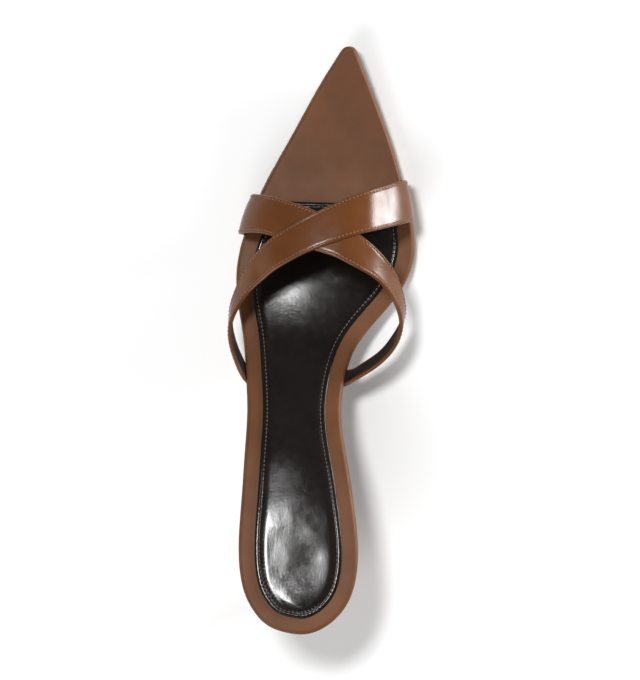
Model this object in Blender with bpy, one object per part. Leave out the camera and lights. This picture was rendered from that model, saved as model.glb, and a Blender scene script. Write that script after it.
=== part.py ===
"""A kitten heel sandal, the left shoe of a pair of mules, in metres with +Z up.

Two leather straps cross over the forefoot and tuck under a wrapped insole. The insole rises over a
curved arch to a slim covered heel. +Y runs from the heel's back to the toe's tip, +X is the medial
side, and the origin is on the floor under the flat of the forefoot's tread.
"""

import math

import bmesh
import bpy
import numpy as np

# Sizes of the sole
LENGTH = 0.260  # from the heel's back to the toe's tip, in plan
BALL_WIDTH = 0.0786  # of the insole across the ball
HEEL_RISE = 0.050  # of the insole's underside at the heel's back over the ball
TOE_SPRING = 0.006
OUTSOLE_THICKNESS = 0.003
INSOLE_THICKNESS = 0.0045
INSOLE_ROUND = 0.0016  # how far the insole's rounded edge reaches in
SOLE_BEVEL = 0.0004
SOLE_WIDER = 0.0004  # outsole past the insole's edge at the forefoot
SOLE_NARROWER = 0.0014  # outsole inside the insole's edge at the waist
SEAT_DISH = 0.0011  # depth of the hollow under the heel of the foot
DISH_MIDDLE = 0.105  # share of the length
DISH_HALF_LENGTH = 0.13  # share of the length
DISH_HALF_WIDTH = 0.36  # share of the ball's width
WAIST_END = 0.52  # where the outsole starts to widen to the forefoot, as a share of the length
BALL_START = 0.66  # and where it has widened
GAP = 0.0003  # between pieces that touch
ROOM = 0.0005  # cut out of the insole round the ends of the straps

# Sizes of the sock
SOCK_THICKNESS = 0.0018
SOCK_BORDER = 0.0071  # of the insole left bare round the sock
SOCK_END = 0.190  # from the heel's back
SOCK_END_SLANT = 0.003  # the medial corner reaches this much further than the lateral one
SOCK_ROUND = 0.0008
CORNER = 0.3  # the middle point of that rounding lies this share of it from both faces
SLANT_START = 0.8  # where its corners start to shift, as a share of SOCK_END

# Sizes of the heel
SEAT_LENGTH = 0.050  # from the heel's back to its breast
HEEL_INSET = 0.0009  # heel's top inside the insole's edge
HEEL_LIP = 0.0033  # of the breast that hides the end of the outsole
HEEL_CENTRE = -0.0024  # across, from the heel-toe line
PAST_SEAT = 1.3  # the seat's outline is taken this many seat lengths before it is cut to length
TOP_PIECE_HEIGHT = 0.005
TOP_PIECE_BEVEL = 0.0005

# Sizes of the straps
INSTEP = 0.040  # height of the last over the insole's underside where the straps cross
STRAP_WALL = 0.0016
STRAP_TAIL = 0.008  # lasted under the insole
STRAP_TUCK = 0.0010  # inside the insole's edge, where a strap starts to turn up
STRAP_SINK = 0.0002  # the upper strap presses this far into the lower one
CROSSING_HALF = 0.021  # half the length over which the upper strap rides on the lower one
CROSSING_RAMP = 0.014
SHOULDER_SLOPE = 0.2  # 0 gives the last the round shoulders of an ellipse, more makes them slope

# How finely the curved pieces are cut
STATIONS = 44
FINE = 4  # times as many stations where an edge is moved inwards before it is cut to length
COLUMNS = 6
PATH_STEPS = 170  # along a strap while it is shaped
STRAP_STEPS = 64  # along a strap as it is built, at most
CROWDING = 0.6  # 0 spaces those evenly, nearer 1 puts more of them at the strap's ends
BEND_REACH = 4  # path steps either way over which a strap's bends are eased
STRAP_COLUMNS = 6
SOCK_STATIONS = 33
SEAT_STATIONS = 17
HEEL_STEPS = 12
WINDOW_STEPS = 25
SLOPE_STEP = 0.002  # share of the length over which a slope is taken
SHARP_ANGLE = math.radians(35)
SHARPEST = 0.5  # a corner's point moves in by at most the distance over this
ROUND_STEPS = (-90, -50, 0, 50, 90)  # degrees round the insole's edge
WELD = 1e-6  # points closer than this are one point

# Shares of the length: the origin, which is the middle of the forefoot's flat tread, and the toe
TREAD_ALONG = 0.72
TOE_START = 0.9  # the toe's point lies ahead of this share of the length

# Outline of the insole: along is a share of LENGTH, the edges are shares of BALL_WIDTH
# along, lateral, medial
OUTLINE = (
    (0.000, 0.000, 0.000),
    (0.007, 0.146, 0.098),
    (0.030, 0.250, 0.198),
    (0.060, 0.315, 0.262),
    (0.100, 0.356, 0.293),
    (0.150, 0.376, 0.290),
    (0.220, 0.382, 0.247),
    (0.300, 0.390, 0.182),
    (0.370, 0.402, 0.130),
    (0.430, 0.432, 0.132),
    (0.490, 0.468, 0.184),
    (0.540, 0.512, 0.292),
    (0.590, 0.539, 0.403),
    (0.640, 0.530, 0.454),
    (0.690, 0.487, 0.448),
    (0.740, 0.436, 0.403),
    (0.790, 0.366, 0.343),
    (0.840, 0.289, 0.279),
    (0.890, 0.214, 0.205),
    (0.940, 0.136, 0.127),
    (0.985, 0.056, 0.054),
    (0.995, 0.036, 0.036),
    (1.000, 0.000, 0.000),
)

# Side profile of the insole's underside: rise is a share of HEEL_RISE, spring of TOE_SPRING
# along, rise, spring
PROFILE = (
    (-0.10, 1.105, 0.00),
    (0.00, 1.000, 0.00),
    (0.10, 0.895, 0.00),
    (0.19, 0.790, 0.00),
    (0.28, 0.655, 0.00),
    (0.36, 0.475, 0.00),
    (0.44, 0.275, 0.00),
    (0.50, 0.150, 0.00),
    (0.56, 0.065, 0.00),
    (0.62, 0.015, 0.00),
    (0.66, 0.000, 0.00),
    (0.79, 0.000, 0.00),
    (0.86, 0.000, 0.16),
    (0.93, 0.000, 0.50),
    (1.00, 0.000, 1.00),
    (1.10, 0.000, 1.85),
)
PROFILE_WINDOW = 0.045  # half the length over which the profile is smoothed, as a share of LENGTH

# The last that the straps are shaped on: reach is the widest of each side and ridge_across the
# highest line, as shares of BALL_WIDTH; girdle is the height of the widest and ridge of the top
# over the insole's underside, as shares of INSTEP
# along, lateral reach, medial reach, lateral girdle, medial girdle, ridge across, ridge
LAST = (
    (0.36, 0.370, 0.060, 0.38, 0.40, -0.06, 1.30),
    (0.40, 0.440, 0.128, 0.42, 0.46, -0.04, 1.26),
    (0.42, 0.473, 0.200, 0.43, 0.48, -0.03, 1.24),
    (0.45, 0.512, 0.325, 0.43, 0.49, -0.02, 1.21),
    (0.50, 0.548, 0.420, 0.39, 0.44, 0.00, 1.15),
    (0.55, 0.552, 0.444, 0.32, 0.33, 0.02, 1.10),
    (0.60, 0.548, 0.438, 0.27, 0.25, 0.03, 1.06),
    (0.66, 0.546, 0.462, 0.26, 0.25, 0.03, 1.00),
    (0.71, 0.515, 0.450, 0.26, 0.25, 0.02, 0.91),
    (0.75, 0.462, 0.419, 0.25, 0.25, 0.01, 0.81),
    (0.80, 0.380, 0.360, 0.23, 0.23, 0.00, 0.69),
    (0.86, 0.280, 0.275, 0.22, 0.22, 0.00, 0.56),
)

# Turns round the last, as the strap tables count them
GIRDLE_TURN = 0.5  # at the widest
EDGE_TURN = 1.0  # at the insole's edge
TAIL_TURN = 1.5  # where a tail ends

# Each strap on the last: along is a share of LENGTH, and turn goes round the last, from 0 on the
# ridge over 0.5 at the widest to 1 at the insole's edge, medial side positive
# front edge along, front edge turn, rear edge along, rear edge turn
UPPER_STRAP = (
    (0.780, 0.70, 0.711, 0.70),
    (0.780, 0.50, 0.710, 0.50),
    (0.776, 0.37, 0.705, 0.37),
    (0.768, 0.26, 0.696, 0.26),
    (0.751, 0.13, 0.681, 0.13),
    (0.736, 0.04, 0.668, 0.04),
    (0.719, -0.03, 0.654, -0.025),
    (0.700, -0.093, 0.639, -0.083),
    (0.673, -0.175, 0.618, -0.150),
    (0.645, -0.255, 0.598, -0.211),
    (0.617, -0.322, 0.577, -0.272),
    (0.588, -0.380, 0.557, -0.322),
    (0.560, -0.432, 0.538, -0.362),
    (0.540, -0.485, 0.523, -0.398),
    (0.520, -0.56, 0.507, -0.436),
    (0.500, -0.64, 0.489, -0.478),
    (0.479, -0.72, 0.462, -0.57),
    (0.460, -0.80, 0.435, -0.67),
    (0.446, -0.875, 0.415, -0.78),
    (0.438, -0.97, 0.404, -0.96),
)
LOWER_STRAP = (
    (0.735, -0.70, 0.664, -0.70),
    (0.735, -0.50, 0.663, -0.50),
    (0.734, -0.36, 0.666, -0.36),
    (0.731, -0.26, 0.666, -0.27),
    (0.724, -0.175, 0.661, -0.21),
    (0.711, -0.072, 0.651, -0.128),
    (0.700, -0.017, 0.643, -0.062),
    (0.689, 0.04, 0.636, -0.005),
    (0.676, 0.102, 0.626, 0.057),
    (0.660, 0.163, 0.616, 0.122),
    (0.640, 0.235, 0.604, 0.196),
    (0.620, 0.305, 0.590, 0.256),
    (0.600, 0.372, 0.575, 0.308),
    (0.580, 0.43, 0.557, 0.358),
    (0.560, 0.49, 0.539, 0.41),
    (0.540, 0.585, 0.521, 0.462),
    (0.516, 0.675, 0.500, 0.525),
    (0.492, 0.73, 0.474, 0.61),
    (0.468, 0.81, 0.450, 0.68),
    (0.453, 0.88, 0.430, 0.76),
    (0.444, 0.97, 0.415, 0.93),
)
UPPER_CROSSING = 0.43  # the crossing's middle, as a share of the upper strap's length

# Sections of the heel from the top piece up: height is a share of the drop, back, breast and
# width are shares of the seat's length and width
# height, back, breast, width
HEEL = (
    (0.00, 0.240, 0.520, 0.250),
    (0.12, 0.225, 0.515, 0.246),
    (0.28, 0.180, 0.518, 0.262),
    (0.44, 0.130, 0.535, 0.310),
    (0.60, 0.080, 0.580, 0.420),
    (0.74, 0.042, 0.665, 0.580),
    (0.85, 0.018, 0.790, 0.770),
    (0.93, 0.004, 0.930, 0.920),
    (1.00, 0.000, 1.000, 1.000),
)

# name, colour, roughness
MATERIALS = {
    "outsole": ((0.16, 0.085, 0.045), 0.6),
    "insole": ((0.15, 0.075, 0.038), 0.42),
    "sock": ((0.010, 0.008, 0.007), 0.25),
    "upper": ((0.17, 0.080, 0.036), 0.40),
    "heel": ((0.15, 0.072, 0.036), 0.42),
    "top_piece": ((0.03, 0.018, 0.012), 0.7),
}


def smooth_curve(at, rows):
    """The natural cubic spline through the rows, as a function of one number or an array."""
    at = np.asarray(at, float)
    rows = np.asarray(rows, float)
    count = len(at)
    step = np.diff(at)
    slope = np.diff(rows, axis=0) / step[:, None]
    matrix = np.eye(count)
    bend = np.zeros_like(rows)
    for i in range(1, count - 1):
        matrix[i, i - 1] = step[i - 1]
        matrix[i, i] = 2 * (step[i - 1] + step[i])
        matrix[i, i + 1] = step[i]
        bend[i] = 6 * (slope[i] - slope[i - 1])
    second = np.linalg.solve(matrix, bend)

    def value(x):
        x = np.clip(np.asarray(x, float), at[0], at[-1])
        i = np.clip(np.searchsorted(at, x, side="right") - 1, 0, count - 2)
        h = step[i][..., None]
        a = (at[i + 1] - x)[..., None] / h
        b = 1 - a
        curved = (a**3 - a) * second[i] + (b**3 - b) * second[i + 1]
        return a * rows[i] + b * rows[i + 1] + curved * h * h / 6

    return value


def smooth_step(x):
    x = np.clip(x, 0, 1)
    return x * x * (3 - 2 * x)


OUTLINE_ROWS = np.array(OUTLINE)
OUTLINE_CURVE = smooth_curve(np.arccos(1 - 2 * OUTLINE_ROWS[:, 0]), OUTLINE_ROWS[:, 1:])
PROFILE_ROWS = np.array(PROFILE)
LAST_ROWS = np.array(LAST)
LAST_CURVE = smooth_curve(LAST_ROWS[:, 0], LAST_ROWS[:, 1:])
HEEL_ROWS = np.array(HEEL)
HEEL_CURVE = smooth_curve(HEEL_ROWS[:, 0], HEEL_ROWS[:, 1:])
WINDOW_SHIFTS = np.linspace(-1, 1, WINDOW_STEPS)
WINDOW_WEIGHTS = 1 + np.cos(np.pi * WINDOW_SHIFTS)


def edges(along):
    """Where the insole's lateral and medial edges are across the shoe."""
    curve = OUTLINE_CURVE(np.arccos(1 - 2 * np.clip(along, 0, 1))) * BALL_WIDTH
    return -curve[..., 0], curve[..., 1]


def insole_under(along):
    """Height of the insole's underside."""
    at = np.asarray(along, float)[..., None] + WINDOW_SHIFTS * PROFILE_WINDOW
    rise = np.interp(at, PROFILE_ROWS[:, 0], PROFILE_ROWS[:, 1]) * HEEL_RISE
    spring = np.interp(at, PROFILE_ROWS[:, 0], PROFILE_ROWS[:, 2]) * TOE_SPRING
    smoothed = ((rise + spring) * WINDOW_WEIGHTS).sum(axis=-1) / WINDOW_WEIGHTS.sum()
    return OUTSOLE_THICKNESS + GAP + smoothed


def upright(along):
    """How much taller a layer stands than it is thick, because the sole slopes."""
    ahead = insole_under(along + SLOPE_STEP)
    behind = insole_under(along - SLOPE_STEP)
    slope = (ahead - behind) / (2 * SLOPE_STEP * LENGTH)
    return np.sqrt(1 + slope * slope)


def seat_dish(along, across):
    """How far the top of the insole sinks under the heel of the foot."""
    far_along = (along - DISH_MIDDLE) / DISH_HALF_LENGTH
    far_across = (across - HEEL_CENTRE) / (DISH_HALF_WIDTH * BALL_WIDTH)
    return SEAT_DISH * np.clip(1 - far_along**2 - far_across**2, 0, 1) ** 2


def layer(points, height, dished=False):
    """Points of the plan lifted to this height over the insole's underside, along its slope."""
    along = points[:, 1] / LENGTH
    lift = insole_under(along) + height * upright(along)
    if dished:
        lift = lift - seat_dish(along, points[:, 0])
    return np.column_stack([points[:, 0], points[:, 1], lift])


def inset(ring, distance):
    """A closed ring of plan points, anticlockwise from above, moved inwards by a distance."""
    ahead = np.roll(ring, -1, axis=0) - ring
    behind = ring - np.roll(ring, 1, axis=0)
    ahead /= np.linalg.norm(ahead, axis=1)[:, None]
    behind /= np.linalg.norm(behind, axis=1)[:, None]
    tangent = ahead + behind
    tangent /= np.linalg.norm(tangent, axis=1)[:, None]
    inward = np.column_stack([-tangent[:, 1], tangent[:, 0]])
    square = np.column_stack([-ahead[:, 1], ahead[:, 0]])
    mitre = 1 / np.maximum((inward * square).sum(axis=1), SHARPEST)
    return ring + inward * (mitre * np.asarray(distance))[:, None]


def placed(points):
    """From the heel's back to the origin on the tread."""
    moved = np.array(points, float)
    moved[:, 1] -= TREAD_ALONG * LENGTH
    return moved


def add_object(name, vertices, faces, collection):
    """A smooth mesh object of these points, with doubled points welded and its faces turned out."""
    mesh = bpy.data.meshes.new(name)
    mesh.from_pydata([tuple(v) for v in placed(vertices)], [], faces)
    work = bmesh.new()
    work.from_mesh(mesh)
    bmesh.ops.remove_doubles(work, verts=work.verts, dist=WELD)
    bmesh.ops.recalc_face_normals(work, faces=work.faces)
    work.to_mesh(mesh)
    work.free()
    mesh.shade_smooth()
    mesh.set_sharp_from_angle(angle=SHARP_ANGLE)
    obj = bpy.data.objects.new(name, mesh)
    collection.objects.link(obj)
    return obj


def add_material(obj):
    colour, roughness = MATERIALS[obj.name]
    material = bpy.data.materials.new(obj.name + "_finish")
    material.use_nodes = True
    shader = material.node_tree.nodes["Principled BSDF"]
    shader.inputs["Base Color"].default_value = (*colour, 1)
    shader.inputs["Roughness"].default_value = roughness
    shader.inputs["Metallic"].default_value = 0.0
    obj.data.materials.append(material)


def ring_of(lateral, medial):
    """The closed ring round two sides given heel to toe, with the rows across each end."""
    shares = np.linspace(0, 1, COLUMNS + 1)[1:-1, None]
    front = medial[-1] + (lateral[-1] - medial[-1]) * shares
    back = lateral[0] + (medial[0] - lateral[0]) * shares
    sides = [medial, lateral[::-1]]
    if np.linalg.norm(medial[-1] - lateral[-1]) > WELD:
        sides.insert(1, front)
    else:
        sides[1] = sides[1][1:]
    if np.linalg.norm(medial[0] - lateral[0]) > WELD:
        sides.append(back)
    else:
        sides[-1] = sides[-1][:-1]
    return np.vstack(sides)


def ring_faces(rings, count):
    """Faces between rings of this many points, each ring's points following the last one's."""
    faces = []
    for i in range(rings - 1):
        for j in range(count):
            k = (j + 1) % count
            faces.append((i * count + j, i * count + k, (i + 1) * count + k, (i + 1) * count + j))
    return faces


def sheet_between(lateral, medial):
    """Rows of COLUMNS + 1 points across from one side to the other."""
    shares = np.linspace(0, 1, COLUMNS + 1)[None, :, None]
    return (lateral[:, None, :] * (1 - shares) + medial[:, None, :] * shares).reshape(-1, 2)


def sheet_faces(start, rows, flip):
    """Faces of a grid of rows by COLUMNS, whose points start at this index."""
    width = COLUMNS + 1
    faces = []
    for i in range(rows - 1):
        for j in range(COLUMNS):
            a = start + i * width + j
            face = (a, a + 1, a + width + 1, a + width)
            faces.append(face[::-1] if flip else face)
    return faces


def slab(name, lateral, medial, levels, collection):
    """A solid between two curved sheets with a shaped edge.

    levels runs from the underside's inner ring to the top's, each an inset, a height over the
    insole's underside and whether the level follows the seat's dish.
    """
    vertices = []
    for inwards, height, dished in levels:
        ring = ring_of(*inset_sides(lateral, medial, inwards))
        vertices.append(layer(ring, height, dished))
    count = len(ring)
    faces = ring_faces(len(levels), count)
    start = len(levels) * count
    rows = len(medial)
    for level, flip in ((levels[0], True), (levels[-1], False)):
        inwards, height, dished = level
        sheet = sheet_between(*inset_sides(lateral, medial, inwards))
        vertices.append(layer(sheet, height, dished))
        faces += sheet_faces(start, rows, flip)
        start += rows * (COLUMNS + 1)
    return add_object(name, np.vstack(vertices), faces, collection)


def inset_sides(lateral, medial, distances):
    """Both sides, heel to toe, moved inwards: one distance, or one for each point of the ring."""
    ring = ring_of(lateral, medial)
    count = len(ring)
    moved = inset(ring, np.broadcast_to(distances, count))
    rows = len(medial)
    pointed_front = np.linalg.norm(medial[-1] - lateral[-1]) <= WELD
    first = rows - 1 if pointed_front else rows + COLUMNS - 1
    lateral_places = [(first + rows - 1 - i) % count for i in range(rows)]
    return moved[lateral_places], moved[:rows]


def sides_between(start, end, count):
    """The insole's two edges between two shares of the length, closer together at round ends."""
    turn = np.linspace(math.acos(1 - 2 * start), math.acos(1 - 2 * end), count)
    along = (1 - np.cos(turn)) / 2
    lateral, medial = edges(along)
    y = along * LENGTH
    return np.column_stack([lateral, y]), np.column_stack([medial, y])


def make_insole(collection):
    lateral, medial = sides_between(0, 1, STATIONS + 1)
    levels = []
    for degrees in ROUND_STEPS:
        angle = math.radians(degrees)
        height = INSOLE_THICKNESS * (1 + math.sin(angle)) / 2
        levels.append((INSOLE_ROUND * (1 - math.cos(angle)), height, degrees > 0))
    return slab("insole", lateral, medial, levels, collection)


def make_outsole(collection):
    lateral, medial = sides_between(0, 1, STATIONS + 1)
    along = ring_of(lateral, medial)[:, 1] / LENGTH
    forefoot = smooth_step((along - WAIST_END) / (BALL_START - WAIST_END))
    inwards = SOLE_NARROWER - (SOLE_NARROWER + SOLE_WIDER) * forefoot
    lateral, medial = inset_sides(lateral, medial, inwards)
    top = -GAP
    bottom = -GAP - OUTSOLE_THICKNESS
    levels = (
        (SOLE_BEVEL, bottom, False),
        (0, bottom + SOLE_BEVEL, False),
        (0, top - SOLE_BEVEL, False),
        (SOLE_BEVEL, top, False),
    )
    outsole = slab("outsole", lateral, medial, levels, collection)
    cut_behind(outsole, SEAT_LENGTH + GAP)
    return outsole


def cut_behind(obj, length):
    """Cuts off what lies behind this distance from the heel's back and closes the cut."""
    work = bmesh.new()
    work.from_mesh(obj.data)
    cut = bmesh.ops.bisect_plane(
        work,
        geom=work.verts[:] + work.edges[:] + work.faces[:],
        dist=WELD / 10,
        plane_co=(0, length - TREAD_ALONG * LENGTH, 0),
        plane_no=(0, -1, 0),
        clear_outer=True,
    )
    rim = [e for e in cut["geom_cut"] if isinstance(e, bmesh.types.BMEdge)]
    bmesh.ops.holes_fill(work, edges=rim, sides=0)
    bmesh.ops.recalc_face_normals(work, faces=work.faces)
    work.to_mesh(obj.data)
    work.free()
    obj.data.set_sharp_from_angle(angle=SHARP_ANGLE)


def make_sock(collection):
    lateral, medial = inset_sides(*sides_between(0, 1, FINE * STATIONS + 1), SOCK_BORDER)
    lateral = sock_side(lateral, SOCK_END / LENGTH)
    medial = sock_side(medial, SOCK_END / LENGTH)
    for side, shift in ((lateral, -SOCK_END_SLANT / 2), (medial, SOCK_END_SLANT / 2)):
        slanted = smooth_step((side[:, 1] / SOCK_END - SLANT_START) / (1 - SLANT_START))
        side[:, 1] += shift * slanted
    under = INSOLE_THICKNESS + GAP
    levels = (
        (0, under, True),
        (0, under + SOCK_THICKNESS - SOCK_ROUND, True),
        (SOCK_ROUND * CORNER, under + SOCK_THICKNESS - SOCK_ROUND * CORNER, True),
        (SOCK_ROUND, under + SOCK_THICKNESS, True),
    )
    return slab("sock", lateral, medial, levels, collection)


def sock_side(side, end):
    """One side of the sock, heel to its front edge, with its points close together at the heel."""
    side = side[side[:, 1] < TOE_START * LENGTH]
    first = side[0, 1]
    turn = np.linspace(0, math.acos(1 - 2 * end), SOCK_STATIONS)
    y = first + (end * LENGTH - first) * (1 - np.cos(turn)) / (2 * end)
    x = np.interp(y, side[:, 1], side[:, 0])
    return np.column_stack([x, y])


def heel_ring(height, lateral, medial):
    """One section of the heel, at a share of the way from the top piece to the seat."""
    back, breast, width = HEEL_CURVE(height)
    sides = []
    for side in (lateral, medial):
        x = HEEL_CENTRE + (side[:, 0] - HEEL_CENTRE) * width
        y = SEAT_LENGTH * back + side[:, 1] * (breast - back)
        sides.append(np.column_stack([x, y]))
    return ring_of(*sides), sides


def seat_sides():
    """The heel's top, inside the insole's edge, from its back to the breast."""
    seat = sides_between(0, SEAT_LENGTH / LENGTH * PAST_SEAT, STATIONS)
    sides = []
    for side in inset_sides(*seat, HEEL_INSET):
        first = side[0, 1]
        turn = np.linspace(0, math.pi / 2, SEAT_STATIONS)
        y = first + (SEAT_LENGTH - first) * (1 - np.cos(turn))
        sides.append(np.column_stack([np.interp(y, side[:, 1], side[:, 0]), y]))
    return sides


def heel_heights(ring, height):
    """Heights of a section: flat on the top piece and bent to the seat at the top."""
    seat = insole_under(ring[:, 1] / LENGTH) - GAP
    return TOP_PIECE_HEIGHT + (seat - TOP_PIECE_HEIGHT) * height


def make_heel(collection):
    lateral, medial = seat_sides()
    lip = 1 - HEEL_LIP / (HEEL_RISE - TOP_PIECE_HEIGHT)
    heights = np.append(np.linspace(0, lip, HEEL_STEPS + 1), 1.0)
    vertices = []
    for height in heights:
        ring, _ = heel_ring(min(height / lip, 1), lateral, medial)
        vertices.append(np.column_stack([ring, heel_heights(ring, height)]))
    count = len(ring)
    faces = ring_faces(len(heights), count)
    start = len(heights) * count
    for height, flip in ((0.0, True), (1.0, False)):
        _, sides = heel_ring(height, lateral, medial)
        sheet = sheet_between(*sides)
        vertices.append(np.column_stack([sheet, heel_heights(sheet, height)]))
        faces += sheet_faces(start, len(sides[0]), flip)
        start += len(sheet)
    return add_object("heel", np.vstack(vertices), faces, collection)


def make_top_piece(collection):
    ring, _ = heel_ring(0.0, *seat_sides())
    vertices = []
    levels = (
        (TOP_PIECE_BEVEL, 0.0),
        (0.0, TOP_PIECE_BEVEL),
        (0.0, TOP_PIECE_HEIGHT - GAP),
    )
    for inwards, height in levels:
        points = inset(ring, np.full(len(ring), inwards))
        vertices.append(np.column_stack([points, np.full(len(ring), height)]))
    count = len(ring)
    faces = ring_faces(len(levels), count)
    faces.append(tuple(range(count))[::-1])
    faces.append(tuple(range((len(levels) - 1) * count, len(levels) * count)))
    return add_object("top_piece", np.vstack(vertices), faces, collection)


def last_surface(along, turn):
    """The point of the last at a share of the length and a turn round it, as x, y, z."""
    rows = LAST_CURVE(along)
    lateral_edge, medial_edge = edges(along)
    medial = turn >= 0
    side = np.where(medial, 1.0, -1.0)
    round_by = np.abs(turn)
    feather = np.where(medial, medial_edge, -lateral_edge) - STRAP_TUCK
    reach = np.where(medial, rows[..., 1], rows[..., 0]) * BALL_WIDTH
    girdle = np.where(medial, rows[..., 3], rows[..., 2]) * INSTEP
    ridge_across = rows[..., 4] * BALL_WIDTH
    ridge = rows[..., 5] * INSTEP
    over = math.pi / 2 * np.clip(round_by / GIRDLE_TURN, 0, 1)
    below = math.pi / 2 * np.clip((round_by - GIRDLE_TURN) / (EDGE_TURN - GIRDLE_TURN), 0, 1)
    tail = np.clip(round_by - EDGE_TURN, 0, None) / (TAIL_TURN - EDGE_TURN) * STRAP_TAIL
    upper_x = ridge_across + (side * reach - ridge_across) * np.sin(over)
    lower_x = side * (feather + (reach - feather) * np.cos(below) - tail)
    upper_z = girdle + (ridge - girdle) * np.cos(over) * (1 - SHOULDER_SLOPE * np.sin(over) ** 2)
    lower_z = girdle * (1 - np.sin(below))
    x = np.where(round_by < GIRDLE_TURN, upper_x, lower_x)
    z = np.where(round_by < GIRDLE_TURN, upper_z, lower_z) + insole_under(along)
    return np.stack([x, along * LENGTH, z], axis=-1)


def strap_rows(table):
    """The strap's rows with the rows of its two tails added."""
    rows = np.array(table)
    first, last = rows[0].copy(), rows[-1].copy()
    starts = []
    for turn in (TAIL_TURN, (TAIL_TURN + EDGE_TURN) / 2, EDGE_TURN):
        row = first.copy()
        row[[1, 3]] = math.copysign(turn, first[1])
        starts.append(row)
    ends = []
    for turn in ((TAIL_TURN + EDGE_TURN) / 2, TAIL_TURN):
        row = last.copy()
        row[[1, 3]] = math.copysign(turn, last[1])
        ends.append(row)
    return np.vstack([starts, rows, ends])


def strap_path(table):
    """The strap's rows at each path step, and how far along the strap each of them is."""
    rows = strap_rows(table)
    front = last_surface(rows[:, 0], rows[:, 1])
    rear = last_surface(rows[:, 2], rows[:, 3])
    middle = (front + rear) / 2
    run = np.append(0, np.cumsum(np.linalg.norm(np.diff(middle, axis=0), axis=1)))
    curve = smooth_curve(run, rows)
    at = np.linspace(0, run[-1], PATH_STEPS + 1)
    return curve(at), at


def ease_bends(sheet):
    """The sheet averaged along the strap over a few steps, with its ends kept in place."""
    weights = BEND_REACH + 1.0 - np.abs(np.arange(-BEND_REACH, BEND_REACH + 1))
    before = 2 * sheet[0] - sheet[BEND_REACH:0:-1]
    after = 2 * sheet[-1] - sheet[-2 : -BEND_REACH - 2 : -1]
    longer = np.concatenate([before, sheet, after])
    eased = np.zeros_like(sheet)
    for i, weight in enumerate(weights):
        eased += weight * longer[i : i + len(sheet)]
    return eased / weights.sum()


def built_steps():
    """Which of the path steps a strap is built from."""
    turn = np.linspace(0, 1, STRAP_STEPS + 1)
    shares = turn - CROWDING * np.sin(2 * math.pi * turn) / (2 * math.pi)
    return np.unique(np.round(shares * PATH_STEPS).astype(int))


def strap_sheets(table, lifted, grow):
    """Outer and inner sheet of a strap, as rows of points across it.

    grow widens, thickens and lengthens the strap, for the room that is cut for it.
    """
    rows, at = strap_path(table)
    width = np.linalg.norm(
        last_surface(rows[:, 0], rows[:, 1]) - last_surface(rows[:, 2], rows[:, 3]), axis=1
    )
    shares = np.linspace(0, 1, STRAP_COLUMNS + 1)[None, :]
    shares = shares + (2 * shares - 1) * (grow / width)[:, None]
    along = rows[:, None, 0] * (1 - shares) + rows[:, None, 2] * shares
    turn = rows[:, None, 1] * (1 - shares) + rows[:, None, 3] * shares
    longer = grow / STRAP_TAIL * (TAIL_TURN - EDGE_TURN)
    turn[0] += math.copysign(longer, rows[0, 1])
    turn[-1] += math.copysign(longer, rows[-1, 1])
    face = ease_bends(last_surface(along, turn))
    outward = sheet_normals(face)
    from_crossing = np.abs(at - UPPER_CROSSING * at[-1])
    ride = smooth_step((CROSSING_HALF + CROSSING_RAMP - from_crossing) / CROSSING_RAMP)
    lift = (ride * (STRAP_WALL - STRAP_SINK) * lifted)[:, None, None]
    outer = face + outward * (lift + grow)
    inner = face + outward * (lift - STRAP_WALL - grow)
    return outer[built_steps()], inner[built_steps()]


def sheet_normals(sheet):
    """Unit normals of a sheet of points, on the side away from the foot."""
    normals = np.cross(np.gradient(sheet, axis=0), np.gradient(sheet, axis=1))
    normals /= np.linalg.norm(normals, axis=2)[..., None]
    top = normals[len(normals) // 2, :, 2].mean()
    return normals * math.copysign(1, top)


def add_strap(name, table, lifted, collection, grow=0.0):
    """A strap as a closed solid between its outer and inner sheets."""
    outer, inner = strap_sheets(table, lifted, grow)
    rings = np.concatenate([outer, inner[:, ::-1]], axis=1)
    steps, count = rings.shape[:2]
    faces = ring_faces(steps, count)
    for i in (0, steps - 1):
        for j in range(STRAP_COLUMNS):
            a = i * count + j
            b = i * count + count - 1 - j
            faces.append((a, a + 1, b - 1, b))
    return add_object(name, rings.reshape(-1, 3), faces, collection)


def make_upper(collection, cutters):
    upper = add_strap("upper", UPPER_STRAP, True, collection)
    lower = add_strap("lower_strap", LOWER_STRAP, False, cutters)
    join(upper, lower, "UNION")
    return upper


def join(obj, other, operation):
    """Adds a Boolean with another object, which then only shows as a wire helper."""
    boolean = obj.modifiers.new(operation.lower() + "_" + other.name, "BOOLEAN")
    boolean.operation = operation
    boolean.solver = "EXACT"
    boolean.object = other
    other.hide_render = True
    other.display_type = "WIRE"


def make_room_for_straps(insole, cutters):
    """Cuts a recess for each strap's ends into the underside of the insole."""
    for name, table, lifted in (("upper_room", UPPER_STRAP, True), ("lower_room", LOWER_STRAP, False)):
        join(insole, add_strap(name, table, lifted, cutters, grow=ROOM), "DIFFERENCE")


def main():
    for obj in list(bpy.data.objects):
        bpy.data.objects.remove(obj, do_unlink=True)
    parts = bpy.data.collections.new("kitten_heel_sandal")
    cutters = bpy.data.collections.new("cutters")
    for collection in (parts, cutters):
        bpy.context.scene.collection.children.link(collection)
    insole = make_insole(parts)
    make_room_for_straps(insole, cutters)
    make_outsole(parts)
    make_sock(parts)
    make_upper(parts, cutters)
    make_heel(parts)
    make_top_piece(parts)
    for obj in parts.objects:
        add_material(obj)


main()
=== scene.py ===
"""The looks of the kitten heel sandal: leather, lining, stitches, a padded sock and studio light.

Every size is in metres. +Y runs to the toe, +X to the medial side and +Z up. Shapes are worked out
from the heel's back, and placed() moves them to the part's frame, whose origin is on the floor under
the forefoot's tread. The tables and shape functions of the part are repeated here, so that the finer
pieces lie where its solids are.
"""

import math

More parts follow.
